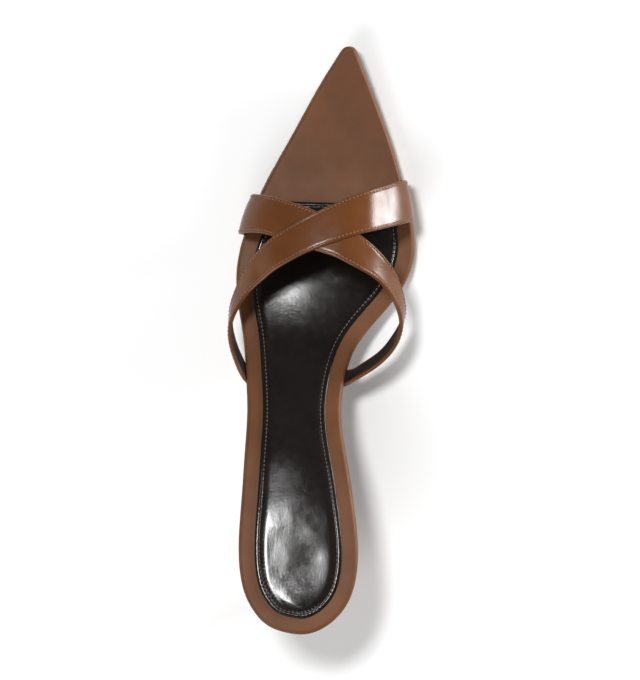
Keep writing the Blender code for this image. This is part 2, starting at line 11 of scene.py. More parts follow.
import bmesh
import bpy
import numpy as np
from mathutils import Matrix, Vector, noise

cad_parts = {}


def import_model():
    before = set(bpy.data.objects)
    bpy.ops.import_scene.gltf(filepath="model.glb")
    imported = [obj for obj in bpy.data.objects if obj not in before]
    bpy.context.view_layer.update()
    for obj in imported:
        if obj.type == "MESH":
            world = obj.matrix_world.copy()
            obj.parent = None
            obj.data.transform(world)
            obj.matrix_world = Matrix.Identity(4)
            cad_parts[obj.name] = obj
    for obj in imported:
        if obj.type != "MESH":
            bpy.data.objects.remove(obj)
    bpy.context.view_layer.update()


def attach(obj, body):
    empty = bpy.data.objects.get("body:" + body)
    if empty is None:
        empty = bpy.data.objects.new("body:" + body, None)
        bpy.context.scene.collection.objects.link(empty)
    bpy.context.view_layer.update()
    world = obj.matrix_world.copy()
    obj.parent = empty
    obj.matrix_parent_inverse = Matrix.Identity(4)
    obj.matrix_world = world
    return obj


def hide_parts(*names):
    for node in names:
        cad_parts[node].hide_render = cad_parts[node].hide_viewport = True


# Sizes that the part's solids have
LENGTH = 0.260
BALL_WIDTH = 0.0786
HEEL_RISE = 0.050
TOE_SPRING = 0.006
OUTSOLE_THICKNESS = 0.003
INSOLE_THICKNESS = 0.0045
SOLE_WIDER = 0.0004
SOLE_NARROWER = 0.0014
WAIST_END = 0.52
BALL_START = 0.66
SEAT_DISH = 0.0011
DISH_MIDDLE = 0.105
DISH_HALF_LENGTH = 0.13
DISH_HALF_WIDTH = 0.36
GAP = 0.0003
SOCK_THICKNESS = 0.0018
SOCK_BORDER = 0.0071
SOCK_END = 0.190
SOCK_END_SLANT = 0.003
SLANT_START = 0.8
SEAT_LENGTH = 0.050
HEEL_INSET = 0.0009
HEEL_LIP = 0.0033
HEEL_CENTRE = -0.0024
TOP_PIECE_HEIGHT = 0.005
INSTEP = 0.040
STRAP_WALL = 0.0016
STRAP_TAIL = 0.008
STRAP_TUCK = 0.0010
STRAP_SINK = 0.0002
CROSSING_HALF = 0.021
CROSSING_RAMP = 0.014
SHOULDER_SLOPE = 0.2
UPPER_CROSSING = 0.43
TREAD_ALONG = 0.72
GIRDLE_TURN = 0.5  # turns round the last: at the widest, at the footbed's edge and at a tail's end
EDGE_TURN = 1.0
TAIL_TURN = 1.5
PROFILE_WINDOW = 0.045

# Sizes of what only shows here
EDGE_ROUND = 0.0019  # how far the wrapped edge's roll reaches in
SEAM_IN = 0.0014  # a strap's stitches from its edge
SEAM_DEPTH = 0.00012
SEAM_WIDTH = 0.00028
SEAM_END_TURN = 0.98  # turn round the last at which a strap's stitches stop
FOLD_SWELL = 0.00010  # a strap is this much thicker where its edge is folded
FOLD_WIDTH = 0.0004
STRAP_PITCH = 0.0018
SOCK_SEAM_IN = 0.0020
SOCK_SEAM_DEPTH = 0.0003
SOCK_PITCH = 0.0019
SOCK_BEAD = 0.0011  # height of the sock's raw edge
SOCK_BEAD_WIDTH = 0.0013
SOCK_CROWN = 0.0006  # the padding's middle over its rim
SOCK_RISE = 0.0034  # from the seam to the padding's full height
SEAM_GROOVE = 0.0006  # half-width of the sock's seam, and how far inside it the puckers are
PUCKER = 0.00013
PUCKER_WIDTH = 0.0008
HEEL_FLATTER = 0.3  # share of the crown that the heel's part lacks
HEEL_PART_FRONT = 0.072  # from the heel's back: the heel's part ends here
HEEL_PART_FADE = 0.03
WRINKLE = 0.00036  # height and size of the heel's wrinkles, of the fine ones and of the soft waves
WRINKLE_SIZE = 0.014
FINE_WRINKLE = 0.00004
FINE_WRINKLE_SIZE = 0.004
SOFT_WAVE = 0.00010
SOFT_WAVE_SIZE = 0.014
HEEL_WORN_BACK = -0.140  # in the part's frame: the sock's polish is duller from here to the back
HEEL_WORN_FRONT = -0.100
BALL_PAD = 0.0010  # further swelling under the ball of the foot
BALL_PAD_AT = 0.1525  # from the heel's back
BALL_PAD_LENGTH = 0.013
SOCK_SWELL = 0.0008  # of the footbed under the sock's front edge
SOCK_SWELL_LENGTH = 0.006
THREAD = 0.00024  # radius
STITCH_HALF = 0.35  # half a stitch's length, as a share of the pitch
LINING_IN = 0.0011  # the lining's edge from the strap's edge
LINING_PROUD = 0.00012  # the lining stands this far out of the strap's inner face
LINING_LIP = 0.00002  # and this far at its edge
LINING_FADE = 0.0003  # from its edge to its full height
LINING_SUNK = 0.0004  # depth of its rim in the leather
LINING_BACK = 0.0005  # depth of its hidden back
STRAP_WAVE = 0.00012
STRAP_WAVE_SIZE = 0.016
ROOM = 0.0004  # between a strap's ends and the footbed that they go under
SOLE_BEVEL = 0.0006  # at the outsole's and the top piece's edges
CLEAR = 0.00005  # between hard pieces that meet

# How finely the pieces are cut
PATH_STEPS = 340  # along a strap
BEND_REACH = 8  # steps either way over which a strap's bends are eased
SHARE_STEP = 0.02  # share of the width over which a strap's slope across is taken
EDGE_COLUMNS = (0.0008, 0.00095, 0.00115, 0.0014, 0.00165, 0.0019, 0.0024, 0.0032)
MIDDLE_COLUMNS = 11
EDGE_STEPS = 7  # round a strap's folded edge
CUT_EVERY = 4  # path steps from one ring to the next of the room that a strap needs
STITCH_SIDES = 6
STITCH_SECTIONS = 5
FOOTBED_COLUMNS = 20
FOOTBED_LEVELS = 14  # round the wrapped edge
SOLE_POINTS = 201  # along each side
SOCK_POINTS = 460
SEAT_POINTS = 60
HEEL_SECTIONS = 49
SOCK_COLUMNS = 40
SOCK_RINGS = (0, 0.00012, 0.0003, 0.0008, 0.0013, 0.0016, 0.0019, 0.0021, 0.0024, 0.0028, 0.0033, 0.0040,
              0.0047, 0.0054)  # distances from the sock's edge
SOLE_COLUMNS = 12
HEEL_COLUMNS = 10

# Outline of the footbed: along is a share of LENGTH, the edges are shares of BALL_WIDTH
# along, lateral, medial
OUTLINE = (
    (0.000, 0.000, 0.000),
    (0.007, 0.146, 0.098),
    (0.030, 0.250, 0.198),
    (0.060, 0.315, 0.262),
    (0.100, 0.356, 0.293),
    (0.150, 0.376, 0.290),
    (0.220, 0.382, 0.247),
    (0.300, 0.390, 0.182),
    (0.370, 0.402, 0.130),
    (0.430, 0.432, 0.132),
    (0.490, 0.468, 0.184),
    (0.540, 0.512, 0.292),
    (0.590, 0.539, 0.403),
    (0.640, 0.530, 0.454),
    (0.690, 0.487, 0.448),
    (0.740, 0.436, 0.403),
    (0.790, 0.366, 0.343),
    (0.840, 0.289, 0.279),
    (0.890, 0.214, 0.205),
    (0.940, 0.136, 0.127),
    (0.985, 0.056, 0.054),
    (0.995, 0.036, 0.036),
    (1.000, 0.000, 0.000),
)

# Side profile of the footbed's underside: rise is a share of HEEL_RISE, spring of TOE_SPRING
# along, rise, spring
PROFILE = (
    (-0.10, 1.105, 0.00),
    (0.00, 1.000, 0.00),
    (0.10, 0.895, 0.00),
    (0.19, 0.790, 0.00),
    (0.28, 0.655, 0.00),
    (0.36, 0.475, 0.00),
    (0.44, 0.275, 0.00),
    (0.50, 0.150, 0.00),
    (0.56, 0.065, 0.00),
    (0.62, 0.015, 0.00),
    (0.66, 0.000, 0.00),
    (0.79, 0.000, 0.00),
    (0.86, 0.000, 0.16),
    (0.93, 0.000, 0.50),
    (1.00, 0.000, 1.00),
    (1.10, 0.000, 1.85),
)

# The last under the straps, in shares of BALL_WIDTH across and of INSTEP up
# along, lateral reach, medial reach, lateral girdle, medial girdle, ridge across, ridge
LAST = (
    (0.36, 0.370, 0.060, 0.38, 0.40, -0.06, 1.30),
    (0.40, 0.440, 0.128, 0.42, 0.46, -0.04, 1.26),
    (0.42, 0.473, 0.200, 0.43, 0.48, -0.03, 1.24),
    (0.45, 0.512, 0.325, 0.43, 0.49, -0.02, 1.21),
    (0.50, 0.548, 0.420, 0.39, 0.44, 0.00, 1.15),
    (0.55, 0.552, 0.444, 0.32, 0.33, 0.02, 1.10),
    (0.60, 0.548, 0.438, 0.27, 0.25, 0.03, 1.06),
    (0.66, 0.546, 0.462, 0.26, 0.25, 0.03, 1.00),
    (0.71, 0.515, 0.450, 0.26, 0.25, 0.02, 0.91),
    (0.75, 0.462, 0.419, 0.25, 0.25, 0.01, 0.81),
    (0.80, 0.380, 0.360, 0.23, 0.23, 0.00, 0.69),
    (0.86, 0.280, 0.275, 0.22, 0.22, 0.00, 0.56),
)

# The straps' edges on the last: turn is 0 on the ridge, 0.5 at the widest, 1 at the footbed's edge
# front edge along, front edge turn, rear edge along, rear edge turn
UPPER_STRAP = (
    (0.780, 0.70, 0.711, 0.70),
    (0.780, 0.50, 0.710, 0.50),
    (0.776, 0.37, 0.705, 0.37),
    (0.768, 0.26, 0.696, 0.26),
    (0.751, 0.13, 0.681, 0.13),
    (0.736, 0.04, 0.668, 0.04),
    (0.719, -0.03, 0.654, -0.025),
    (0.700, -0.093, 0.639, -0.083),
    (0.673, -0.175, 0.618, -0.150),
    (0.645, -0.255, 0.598, -0.211),
    (0.617, -0.322, 0.577, -0.272),
    (0.588, -0.380, 0.557, -0.322),
    (0.560, -0.432, 0.538, -0.362),
    (0.540, -0.485, 0.523, -0.398),
    (0.520, -0.56, 0.507, -0.436),
    (0.500, -0.64, 0.489, -0.478),
    (0.479, -0.72, 0.462, -0.57),
    (0.460, -0.80, 0.435, -0.67),
    (0.446, -0.875, 0.415, -0.78),
    (0.438, -0.97, 0.404, -0.96),
)
LOWER_STRAP = (
    (0.735, -0.70, 0.664, -0.70),
    (0.735, -0.50, 0.663, -0.50),
    (0.734, -0.36, 0.666, -0.36),
    (0.731, -0.26, 0.666, -0.27),
    (0.724, -0.175, 0.661, -0.21),
    (0.711, -0.072, 0.651, -0.128),
    (0.700, -0.017, 0.643, -0.062),
    (0.689, 0.04, 0.636, -0.005),
    (0.676, 0.102, 0.626, 0.057),
    (0.660, 0.163, 0.616, 0.122),
    (0.640, 0.235, 0.604, 0.196),
    (0.620, 0.305, 0.590, 0.256),
    (0.600, 0.372, 0.575, 0.308),
    (0.580, 0.43, 0.557, 0.358),
    (0.560, 0.49, 0.539, 0.41),
    (0.540, 0.585, 0.521, 0.462),
    (0.516, 0.675, 0.500, 0.525),
    (0.492, 0.73, 0.474, 0.61),
    (0.468, 0.81, 0.450, 0.68),
    (0.453, 0.88, 0.430, 0.76),
    (0.444, 0.97, 0.415, 0.93),
)

# Sections of the heel: height is a share of the drop, the rest are shares of the seat
# height, back, breast, width
HEEL = (
    (0.00, 0.240, 0.520, 0.250),
    (0.12, 0.225, 0.515, 0.246),
    (0.28, 0.180, 0.518, 0.262),
    (0.44, 0.130, 0.535, 0.310),
    (0.60, 0.080, 0.580, 0.420),
    (0.74, 0.042, 0.665, 0.580),
    (0.85, 0.018, 0.790, 0.770),
    (0.93, 0.004, 0.930, 0.920),
    (1.00, 0.000, 1.000, 1.000),
)


def smooth_curve(at, rows):
    """The natural cubic spline through the rows, as a function of one number or an array."""
    at = np.asarray(at, float)
    rows = np.asarray(rows, float)
    count = len(at)
    step = np.diff(at)
    slope = np.diff(rows, axis=0) / step[:, None]
    matrix = np.eye(count)
    bend = np.zeros_like(rows)
    for i in range(1, count - 1):
        matrix[i, i - 1] = step[i - 1]
        matrix[i, i] = 2 * (step[i - 1] + step[i])
        matrix[i, i + 1] = step[i]
        bend[i] = 6 * (slope[i] - slope[i - 1])
    second = np.linalg.solve(matrix, bend)

    def value(x):
        x = np.clip(np.asarray(x, float), at[0], at[-1])
        i = np.clip(np.searchsorted(at, x, side="right") - 1, 0, count - 2)
        h = step[i][..., None]
        a = (at[i + 1] - x)[..., None] / h
        b = 1 - a
        curved = (a**3 - a) * second[i] + (b**3 - b) * second[i + 1]
        return a * rows[i] + b * rows[i + 1] + curved * h * h / 6

    return value


def smooth_step(x):
    x = np.clip(x, 0, 1)
    return x * x * (3 - 2 * x)


def bell(x, width):
    """1 where x is 0, falling off over about this width."""
    return np.exp(-((x / width) ** 2))


OUTLINE_ROWS = np.array(OUTLINE)
OUTLINE_CURVE = smooth_curve(np.arccos(1 - 2 * OUTLINE_ROWS[:, 0]), OUTLINE_ROWS[:, 1:])
PROFILE_ROWS = np.array(PROFILE)
LAST_ROWS = np.array(LAST)
LAST_CURVE = smooth_curve(LAST_ROWS[:, 0], LAST_ROWS[:, 1:])
HEEL_ROWS = np.array(HEEL)
HEEL_CURVE = smooth_curve(HEEL_ROWS[:, 0], HEEL_ROWS[:, 1:])
WINDOW_SHIFTS = np.linspace(-1, 1, 25)
WINDOW_WEIGHTS = 1 + np.cos(np.pi * WINDOW_SHIFTS)
WELD = 1e-6


def edges(along):
    """Where the footbed's lateral and medial edges are across the shoe."""
    curve = OUTLINE_CURVE(np.arccos(1 - 2 * np.clip(along, 0, 1))) * BALL_WIDTH
    return -curve[..., 0], curve[..., 1]


def insole_under(along):
    """Height of the footbed's underside."""
    at = np.asarray(along, float)[..., None] + WINDOW_SHIFTS * PROFILE_WINDOW
    rise = np.interp(at, PROFILE_ROWS[:, 0], PROFILE_ROWS[:, 1]) * HEEL_RISE
    spring = np.interp(at, PROFILE_ROWS[:, 0], PROFILE_ROWS[:, 2]) * TOE_SPRING
    smoothed = ((rise + spring) * WINDOW_WEIGHTS).sum(axis=-1) / WINDOW_WEIGHTS.sum()
    return OUTSOLE_THICKNESS + GAP + smoothed


def upright(along):
    """How much taller a layer stands than it is thick, because the sole slopes."""
    near = 0.002
    slope = (insole_under(along + near) - insole_under(along - near)) / (2 * near * LENGTH)
    return np.sqrt(1 + slope * slope)


def seat_dish(along, across):
    """How far the footbed sinks under the heel of the foot."""
    far_along = (along - DISH_MIDDLE) / DISH_HALF_LENGTH
    far_across = (across - HEEL_CENTRE) / (DISH_HALF_WIDTH * BALL_WIDTH)
    return SEAT_DISH * np.clip(1 - far_along**2 - far_across**2, 0, 1) ** 2


def layer(points, height, dished=False):
    """Points of the plan lifted to this height over the footbed's underside."""
    along = points[:, 1] / LENGTH
    lift = insole_under(along) + height * upright(along)
    if dished:
        swell = SOCK_SWELL * bell(points[:, 1] - SOCK_END, SOCK_SWELL_LENGTH)
        lift = lift - seat_dish(along, points[:, 0]) + swell
    return np.column_stack([points[:, 0], points[:, 1], lift])


def inset(ring, distance):
    """A closed ring of plan points, anticlockwise from above, moved inwards by a distance."""
    ahead = np.roll(ring, -1, axis=0) - ring
    behind = ring - np.roll(ring, 1, axis=0)
    ahead /= np.linalg.norm(ahead, axis=1)[:, None]
    behind /= np.linalg.norm(behind, axis=1)[:, None]
    tangent = ahead + behind
    tangent /= np.linalg.norm(tangent, axis=1)[:, None]
    inward = np.column_stack([-tangent[:, 1], tangent[:, 0]])
    square = np.column_stack([-ahead[:, 1], ahead[:, 0]])
    mitre = 1 / np.maximum((inward * square).sum(axis=1), 0.5)
    return ring + inward * (mitre * np.asarray(distance))[:, None]


def ring_of(lateral, medial, columns):
    """The closed ring round two sides given heel to toe, with the points across each end."""
    shares = np.linspace(0, 1, columns + 1)[1:-1, None]
    sides = [medial]
    if np.linalg.norm(medial[-1] - lateral[-1]) > WELD:
        sides.append(medial[-1] + (lateral[-1] - medial[-1]) * shares)
        sides.append(lateral[::-1])
    else:
        sides.append(lateral[::-1][1:])
    if np.linalg.norm(medial[0] - lateral[0]) > WELD:
        sides.append(lateral[0] + (medial[0] - lateral[0]) * shares)
    else:
        sides[-1] = sides[-1][:-1]
    return np.vstack(sides)


def inset_sides(lateral, medial, columns, distances):
    """Both sides, heel to toe, moved inwards."""
    ring = ring_of(lateral, medial, columns)
    count = len(ring)
    moved = inset(ring, np.broadcast_to(distances, count))
    rows = len(medial)
    pointed_front = np.linalg.norm(medial[-1] - lateral[-1]) <= WELD
    first = rows - 1 if pointed_front else rows + columns - 1
    lateral_places = [(first + rows - 1 - i) % count for i in range(rows)]
    return moved[lateral_places], moved[:rows]


def sides_between(start, end, count):
    """The footbed's two edges between two shares of the length."""
    turn = np.linspace(math.acos(1 - 2 * start), math.acos(1 - 2 * end), count)
    along = (1 - np.cos(turn)) / 2
    lateral, medial = edges(along)
    y = along * LENGTH
    return np.column_stack([lateral, y]), np.column_stack([medial, y])


def sheet_between(lateral, medial, columns):
    """Rows of points across from one side to the other."""
    shares = np.linspace(0, 1, columns + 1)[None, :, None]
    return (lateral[:, None, :] * (1 - shares) + medial[:, None, :] * shares).reshape(-1, 2)


def ring_faces(rings, count, start=0):
    """Faces between rings of this many points."""
    faces = []
    for i in range(rings - 1):
        for j in range(count):
            k = (j + 1) % count
            a = start + i * count
            faces.append((a + j, a + k, a + count + k, a + count + j))
    return faces


def tube_faces(rings, count, start=0):
    """Faces of a closed tube of rings, with its two ends."""
    faces = ring_faces(rings, count, start)
    faces.append(tuple(range(start, start + count))[::-1])
    last = start + (rings - 1) * count
    faces.append(tuple(range(last, last + count)))
    return faces


def sheet_faces(start, rows, columns, flip):
    """Faces of a grid of points."""
    width = columns + 1
    faces = []
    for i in range(rows - 1):
        for j in range(columns):
            a = start + i * width + j
            face = (a, a + 1, a + width + 1, a + width)
            faces.append(face[::-1] if flip else face)
    return faces


def last_surface(along, turn):
    """The point of the last at a share of the length and a turn round it."""
    rows = LAST_CURVE(along)
    lateral_edge, medial_edge = edges(along)
    medial = turn >= 0
    side = np.where(medial, 1.0, -1.0)
    round_by = np.abs(turn)
    feather = np.where(medial, medial_edge, -lateral_edge) - STRAP_TUCK
    reach = np.where(medial, rows[..., 1], rows[..., 0]) * BALL_WIDTH
    girdle = np.where(medial, rows[..., 3], rows[..., 2]) * INSTEP
    ridge_across = rows[..., 4] * BALL_WIDTH
    ridge = rows[..., 5] * INSTEP
    over = math.pi / 2 * np.clip(round_by / GIRDLE_TURN, 0, 1)
    below = math.pi / 2 * np.clip((round_by - GIRDLE_TURN) / (EDGE_TURN - GIRDLE_TURN), 0, 1)
    tail = np.clip(round_by - EDGE_TURN, 0, None) / (TAIL_TURN - EDGE_TURN) * STRAP_TAIL
    upper_x = ridge_across + (side * reach - ridge_across) * np.sin(over)
    lower_x = side * (feather + (reach - feather) * np.cos(below) - tail)
    upper_z = girdle + (ridge - girdle) * np.cos(over) * (1 - SHOULDER_SLOPE * np.sin(over) ** 2)
    lower_z = girdle * (1 - np.sin(below))
    x = np.where(round_by < GIRDLE_TURN, upper_x, lower_x)
    z = np.where(round_by < GIRDLE_TURN, upper_z, lower_z) + insole_under(along)
    return np.stack([x, along * LENGTH, z], axis=-1)


def strap_rows(table):
    """The strap's rows with the rows of its two tails added."""
    rows = np.array(table)
    first, last = rows[0].copy(), rows[-1].copy()
    starts = []
    for turn in (TAIL_TURN, (TAIL_TURN + EDGE_TURN) / 2, EDGE_TURN):
        row = first.copy()
        row[[1, 3]] = math.copysign(turn, first[1])
        starts.append(row)
    ends = []
    for turn in ((TAIL_TURN + EDGE_TURN) / 2, TAIL_TURN):
        row = last.copy()
        row[[1, 3]] = math.copysign(turn, last[1])
        ends.append(row)
    return np.vstack([starts, rows, ends])


def strap_path(table):
    """The strap's rows at each path step, and how far along the strap each of them is."""
    rows = strap_rows(table)
    front = last_surface(rows[:, 0], rows[:, 1])
    rear = last_surface(rows[:, 2], rows[:, 3])
    middle = (front + rear) / 2
    run = np.append(0, np.cumsum(np.linalg.norm(np.diff(middle, axis=0), axis=1)))
    at = np.linspace(0, run[-1], PATH_STEPS + 1)
    return smooth_curve(run, rows)(at), at


def ease_bends(sheet):
    """The sheet averaged along the strap over a few steps, with its ends kept in place."""
    weights = BEND_REACH + 1.0 - np.abs(np.arange(-BEND_REACH, BEND_REACH + 1))
    before = 2 * sheet[0] - sheet[BEND_REACH:0:-1]
    after = 2 * sheet[-1] - sheet[-2 : -BEND_REACH - 2 : -1]
    longer = np.concatenate([before, sheet, after])
    eased = np.zeros_like(sheet)
    for i, weight in enumerate(weights):
        eased += weight * longer[i : i + len(sheet)]
    return eased / weights.sum()


class Strap:
    """A strap's outer face as a function of the distance from its front or rear edge."""

    def __init__(self, table, lifted):
        self.rows, self.at = strap_path(table)
        front = last_surface(self.rows[:, 0], self.rows[:, 1])
        rear = last_surface(self.rows[:, 2], self.rows[:, 3])
        self.width = np.linalg.norm(front - rear, axis=1)
        from_crossing = np.abs(self.at - UPPER_CROSSING * self.at[-1])
        ride = smooth_step((CROSSING_HALF + CROSSING_RAMP - from_crossing) / CROSSING_RAMP)
        self.lift = ride * (STRAP_WALL - STRAP_SINK) * lifted

    def on_last(self, shares):
        """Points of the last at these shares of the width, steps by columns."""
        rows = self.rows
        along = rows[:, None, 0] * (1 - shares) + rows[:, None, 2] * shares
        turn = rows[:, None, 1] * (1 - shares) + rows[:, None, 3] * shares
        return ease_bends(last_surface(along, turn))

    def face(self, shares):
        """Points of the outer face and its outward normals at these shares of the width."""
        points = self.on_last(shares)
        across = self.on_last(shares + SHARE_STEP) - self.on_last(shares - SHARE_STEP)
        normals = np.cross(np.gradient(points, axis=0), across)
        normals /= np.linalg.norm(normals, axis=2)[..., None]
        normals *= math.copysign(1, normals[len(normals) // 2, :, 2].mean())
        return points + normals * self.lift[:, None, None], normals

    def shares_at(self, distances):
        """Shares of the width at these distances: from the front edge, or below 0 from the rear."""
        columns = []
        for distance in distances:
            share = distance / self.width
            columns.append(share if distance >= 0 else 1 + share)
        return np.stack(columns, axis=1)


def placed(points):
    """From the heel's back to the frame's origin."""
    moved = np.array(points, float)
    moved[:, 1] -= TREAD_ALONG * LENGTH
    return moved


def add_piece(name, vertices, faces, material, sharp=50):
    """A smooth mesh piece that rides on the shoe."""
    mesh = bpy.data.meshes.new(name)
    mesh.from_pydata(placed(vertices).tolist(), [], faces)
    work = bmesh.new()
    work.from_mesh(mesh)
    bmesh.ops.remove_doubles(work, verts=work.verts, dist=WELD)
    bmesh.ops.recalc_face_normals(work, faces=work.faces)
    work.to_mesh(mesh)
    work.free()
    mesh.shade_smooth()
    mesh.set_sharp_from_angle(angle=math.radians(sharp))
    mesh.materials.append(material)
    piece = bpy.data.objects.new(name, mesh)
    bpy.context.scene.collection.objects.link(piece)
    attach(piece, "root")
    return piece


def uneven(points, size, seed):
    """Soft noise from -1 to 1 at each point, with bumps of about this size."""
    shift = Vector((seed * 7.3, seed * 3.1, seed * 5.7))
    return np.array([noise.noise(Vector(p) / size + shift) for p in points])


# Materials


class Leather:
    """Builds one leather material from its colours, grain and gloss."""

    def __init__(self, name):
        self.material = bpy.data.materials.new(name)
        self.material.use_nodes = True
        self.tree = self.material.node_tree
        self.shader = self.tree.nodes["Principled BSDF"]
        self.place = self.add("ShaderNodeTexCoord").outputs["Object"]

    def add(self, kind, **inputs):
        node = self.tree.nodes.new(kind)
        for name, value in inputs.items():
            node.inputs[name.replace("_", " ")].default_value = value
        return node

    def link(self, output, node, name):
        self.tree.links.new(output, node.inputs[name])

    def noise(self, scale, detail):
        node = self.add("ShaderNodeTexNoise", Scale=scale, Detail=detail)
        self.link(self.place, node, "Vector")
        return node.outputs["Fac"]

    def ramp(self, value, stops):
        node = self.add("ShaderNodeValToRGB")
        self.link(value, node, "Fac")
        marks = node.color_ramp.elements
        for i, (position, colour) in enumerate(stops):
            mark = marks[i] if i < 2 else marks.new(position)
            mark.position = position
            mark.color = (*colour, 1)
        return node.outputs["Color"]

    def spread(self, value, low, high, start=0.3, end=0.7):
        node = self.add("ShaderNodeMapRange", From_Min=start, From_Max=end, To_Min=low, To_Max=high)
        self.link(value, node, "Value")
        return node.outputs["Result"]

    def along_shoe(self):
        node = self.add("ShaderNodeSeparateXYZ")
        self.link(self.place, node, "Vector")
        return node.outputs["Y"]

    def sum(self, one, other):
        node = self.add("ShaderNodeMath")
        node.operation = "ADD"
        self.tree.links.new(one, node.inputs[0])
        self.tree.links.new(other, node.inputs[1])
        return node.outputs["Value"]

    def bump(self, height, distance, strength, under=None):
        node = self.add("ShaderNodeBump", Distance=distance, Strength=strength)
        self.link(height, node, "Height")
        if under is not None:
            self.link(under, node, "Normal")
        return node.outputs["Normal"]

    def finish(self, colour, roughness, normal, coat=0.0, gloss=0.5, sheen=0.0):
        self.link(colour, self.shader, "Base Color")
        self.link(roughness, self.shader, "Roughness")
        self.link(normal, self.shader, "Normal")
        self.shader.inputs["Coat Weight"].default_value = coat
        self.shader.inputs["Coat Roughness"].default_value = 0.12
        self.shader.inputs["Specular IOR Level"].default_value = gloss
        self.shader.inputs["Sheen Weight"].default_value = sheen
        return self.material


def brown_leather(name, dark, light, rough, gloss):
    """Satin brown leather: fine pores, slight clouds of colour, a soft uneven gloss."""
    make = Leather(name)
    clouds = make.noise(55, 4)
    colour = make.ramp(clouds, ((0.30, dark), (0.70, light)))
    roughness = make.spread(make.noise(160, 3), rough - 0.03, rough + 0.04)
    pores = make.bump(make.noise(1250, 2), 0.00009, 0.4)
    normal = make.bump(make.noise(420, 3), 0.00010, 0.3, pores)
    return make.finish(colour, roughness, normal, gloss=gloss)


def black_leather(name):
    """Glossy black leather with a pebbled grain that breaks up its highlights."""
    make = Leather(name)
    dark = (0.0045, 0.0030, 0.0024)
    light = (0.0075, 0.0052, 0.0042)
    colour = make.ramp(make.noise(90, 3), ((0.3, dark), (0.7, light)))
    polish = make.spread(make.noise(300, 3), 0.15, 0.22)
    worn = make.spread(make.along_shoe(), 0.02, 0.0, HEEL_WORN_BACK, HEEL_WORN_FRONT)
    roughness = make.sum(polish, worn)
    grain = make.bump(make.noise(1500, 2), 0.00008, 0.6)
    normal = make.bump(make.noise(420, 3), 0.00007, 0.3, grain)
    return make.finish(colour, roughness, normal, coat=0.1)


def lining_leather(name):
    """The straps' black lining, matt and finely grained."""
    make = Leather(name)
    colour = make.ramp(make.noise(120, 3), ((0.3, (0.008, 0.006, 0.005)), (0.7, (0.014, 0.011, 0.009))))
    roughness = make.spread(make.noise(260, 3), 0.38, 0.5)
    normal = make.bump(make.noise(1300, 2), 0.00005, 0.4)
    return make.finish(colour, roughness, normal)


def sole_leather(name):
    """Brown sole leather with fine scratches along the shoe."""
    make = Leather(name)
    colour = make.ramp(make.noise(40, 5), ((0.3, (0.105, 0.055, 0.030)), (0.7, (0.150, 0.085, 0.048))))
    roughness = make.spread(make.noise(200, 4), 0.45, 0.62)
    normal = make.bump(make.noise(900, 5), 0.00006, 0.4)
    return make.finish(colour, roughness, normal)


def thread(name, colour):
    """Waxed thread with a little variation from stitch to stitch."""
    make = Leather(name)
    paint = make.ramp(make.noise(600, 2), ((0.3, tuple(c * 0.75 for c in colour)), (0.7, colour)))
    roughness = make.spread(make.noise(700, 2), 0.32, 0.5)
    normal = make.bump(make.noise(4000, 2), 0.00005, 0.4)
    return make.finish(paint, roughness, normal, sheen=0.2)


def hard_rubber(name):
    """The top piece: dense rubber with a matt, slightly mottled face."""
    make = Leather(name)
    colour = make.ramp(make.noise(500, 4), ((0.3, (0.020, 0.013, 0.009)), (0.7, (0.034, 0.022, 0.015))))
    roughness = make.spread(make.noise(700, 3), 0.5, 0.7)
    normal = make.bump(make.noise(2500, 3), 0.00005, 0.35)
    return make.finish(colour, roughness, normal)


def plain_floor(name):
    """A pale matt floor."""
    make = Leather(name)
    colour = make.ramp(make.noise(3, 2), ((0.3, (0.86, 0.86, 0.86)), (0.7, (0.88, 0.88, 0.88))))
    roughness = make.spread(make.noise(20, 2), 0.75, 0.85)
    normal = make.bump(make.noise(300, 2), 0.0001, 0.05)
    return make.finish(colour, roughness, normal)


# Sole


def round_levels(thickness, reach, steps, dished):
    """Levels of a half-round edge, from the underside's inner ring to the top's."""
    levels = []
    for i in range(steps + 1):
        angle = math.pi * (i / steps - 0.5)
        height = thickness * (1 + math.sin(angle)) / 2
        levels.append((reach * (1 - math.cos(angle)), height, dished and angle > 0))
    return levels


def slab(name, lateral, medial, levels, columns, material):
    """A solid between two curved sheets with a shaped edge."""
    vertices = []
    for inwards, height, dished in levels:
        ring = ring_of(*inset_sides(lateral, medial, columns, inwards), columns)
        vertices.append(layer(ring, height, dished))
    count = len(ring)
    faces = ring_faces(len(levels), count)
    start = len(levels) * count
    rows = len(medial)
    for level, flip in ((levels[0], True), (levels[-1], False)):
        inwards, height, dished = level
        sheet = sheet_between(*inset_sides(lateral, medial, columns, inwards), columns)
        vertices.append(layer(sheet, height, dished))
        faces += sheet_faces(start, rows, columns, flip)
        start += rows * (columns + 1)
    return add_piece(name, np.vstack(vertices), faces, material)


def make_footbed(material, straps):
    """The leather-wrapped insole, with room cut under its edge for the straps' ends."""
    lateral, medial = sides_between(0, 1, SOLE_POINTS)
    levels = round_levels(INSOLE_THICKNESS, EDGE_ROUND, FOOTBED_LEVELS, True)
    footbed = slab("footbed", lateral, medial, levels, FOOTBED_COLUMNS, material)
    for strap in straps:
        cutter = strap_room(strap)
        boolean = footbed.modifiers.new("room", "BOOLEAN")
        boolean.object = cutter
        boolean.operation = "DIFFERENCE"
        boolean.solver = "EXACT"
        bpy.context.view_layer.update()
        shown = footbed.evaluated_get(bpy.context.evaluated_depsgraph_get())
        cut = bpy.data.meshes.new_from_object(shown)
        footbed.modifiers.clear()
        footbed.data = cut
        bpy.data.objects.remove(cutter)
    footbed.data.shade_smooth()
    footbed.data.set_sharp_from_angle(angle=math.radians(50))
    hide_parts("insole")


